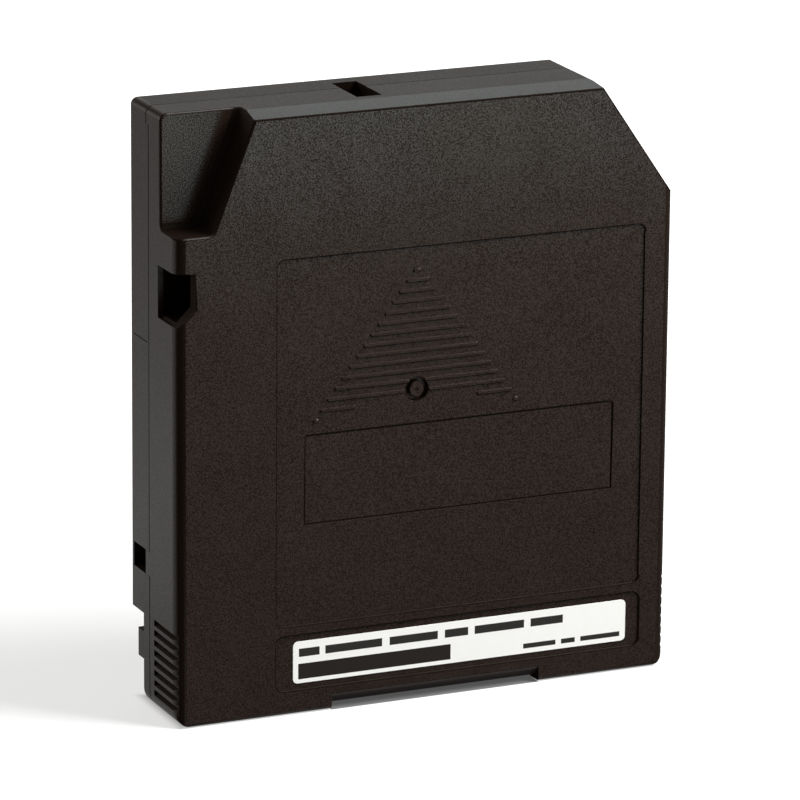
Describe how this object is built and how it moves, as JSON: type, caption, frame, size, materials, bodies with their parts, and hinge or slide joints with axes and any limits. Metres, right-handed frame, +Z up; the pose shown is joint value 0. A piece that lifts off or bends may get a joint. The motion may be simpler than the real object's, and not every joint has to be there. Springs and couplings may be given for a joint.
{
  "type": "tape cleaning cartridge",
  "caption": "Flat black cartridge with a stepped and a cut corner, holding a reel of cleaning tape with its brake, leader and door.",
  "frame": {"origin": "middle of the bounding box's bottom, on the rear edge that the cartridge stands on", "axes": "+Z up, towards the end that goes into a drive first; +Y from the labelled front face to the back face; +X to the right as the front face is seen"},
  "size_m": [0.109, 0.0244, 0.125],
  "materials": {
    "shell_plastic": "moulded, fine grain on the front",
    "label_film": "white printed film",
    "screw_steel": "dark zinc",
    "reel_plastic": "natural moulding",
    "flange_plastic": "natural moulding",
    "plate_steel": "stamped and deburred",
    "tape_film": "coated film",
    "pin_steel": "ground and polished",
    "clip_plastic": "moulded",
    "spring_steel": "drawn",
    "brake_plastic": "moulded",
    "pad_plastic": "moulded",
    "door_plastic": "moulded",
    "board_laminate": "coated laminate",
    "chip_plastic": "moulded",
    "switch_plastic": "moulded"
  },
  "bodies": {
    "case": {"upper_shell": "shell_plastic", "lower_shell": "shell_plastic", "front_label": "label_film", "case_screws": "screw_steel", "leader_pin": "pin_steel", "leader_clip": "clip_plastic", "pin_springs": "spring_steel", "leader_tape": "tape_film", "memory_board": "board_laminate", "memory_chip": "chip_plastic", "brake_spring": "spring_steel", "door_spring": "spring_steel"},
    "reel": {"reel_hub": "reel_plastic", "reel_flange": "flange_plastic", "reel_plate": "plate_steel", "tape_pack": "tape_film"},
    "brake": {"brake_button": "brake_plastic"},
    "release": {"release_pad": "pad_plastic"},
    "door": {"door": "door_plastic"},
    "switch": {"write_protect_switch": "switch_plastic"}
  },
  "joints": [
    {"name": "reel_spin", "type": "hinge", "parent": "case", "child": "reel", "pos_m": [-0.0023, 0, 0.0654], "axis": [0, 1, 0], "continuous": true},
    {"name": "brake_lift", "type": "slide", "parent": "case", "child": "brake", "axis": [0, -1, 0], "range_m": [0, 0.002], "stiffness_N_per_m": 800, "springref_m": -0.006, "deforming": ["brake_spring"]},
    {"name": "release_slide", "type": "slide", "parent": "reel", "child": "release", "axis": [0, -1, 0], "range_m": [0, 0.002]},
    {"name": "door_open", "type": "hinge", "parent": "case", "child": "door", "pos_m": [-0.0285, 0, 0.0791], "axis": [0, 1, 0], "range_deg": [0, 19], "stiffness_Nm_per_rad": 0.05, "springref_deg": -34.38, "deforming": ["door_spring"]},
    {"name": "write_protect_slide", "type": "slide", "parent": "case", "child": "switch", "axis": [1, 0, 0], "range_m": [0, 0.003]}
  ],
  "couplings": [
    {"joint": "release_slide", "follows": "brake_lift", "ratio": 1}
  ]
}
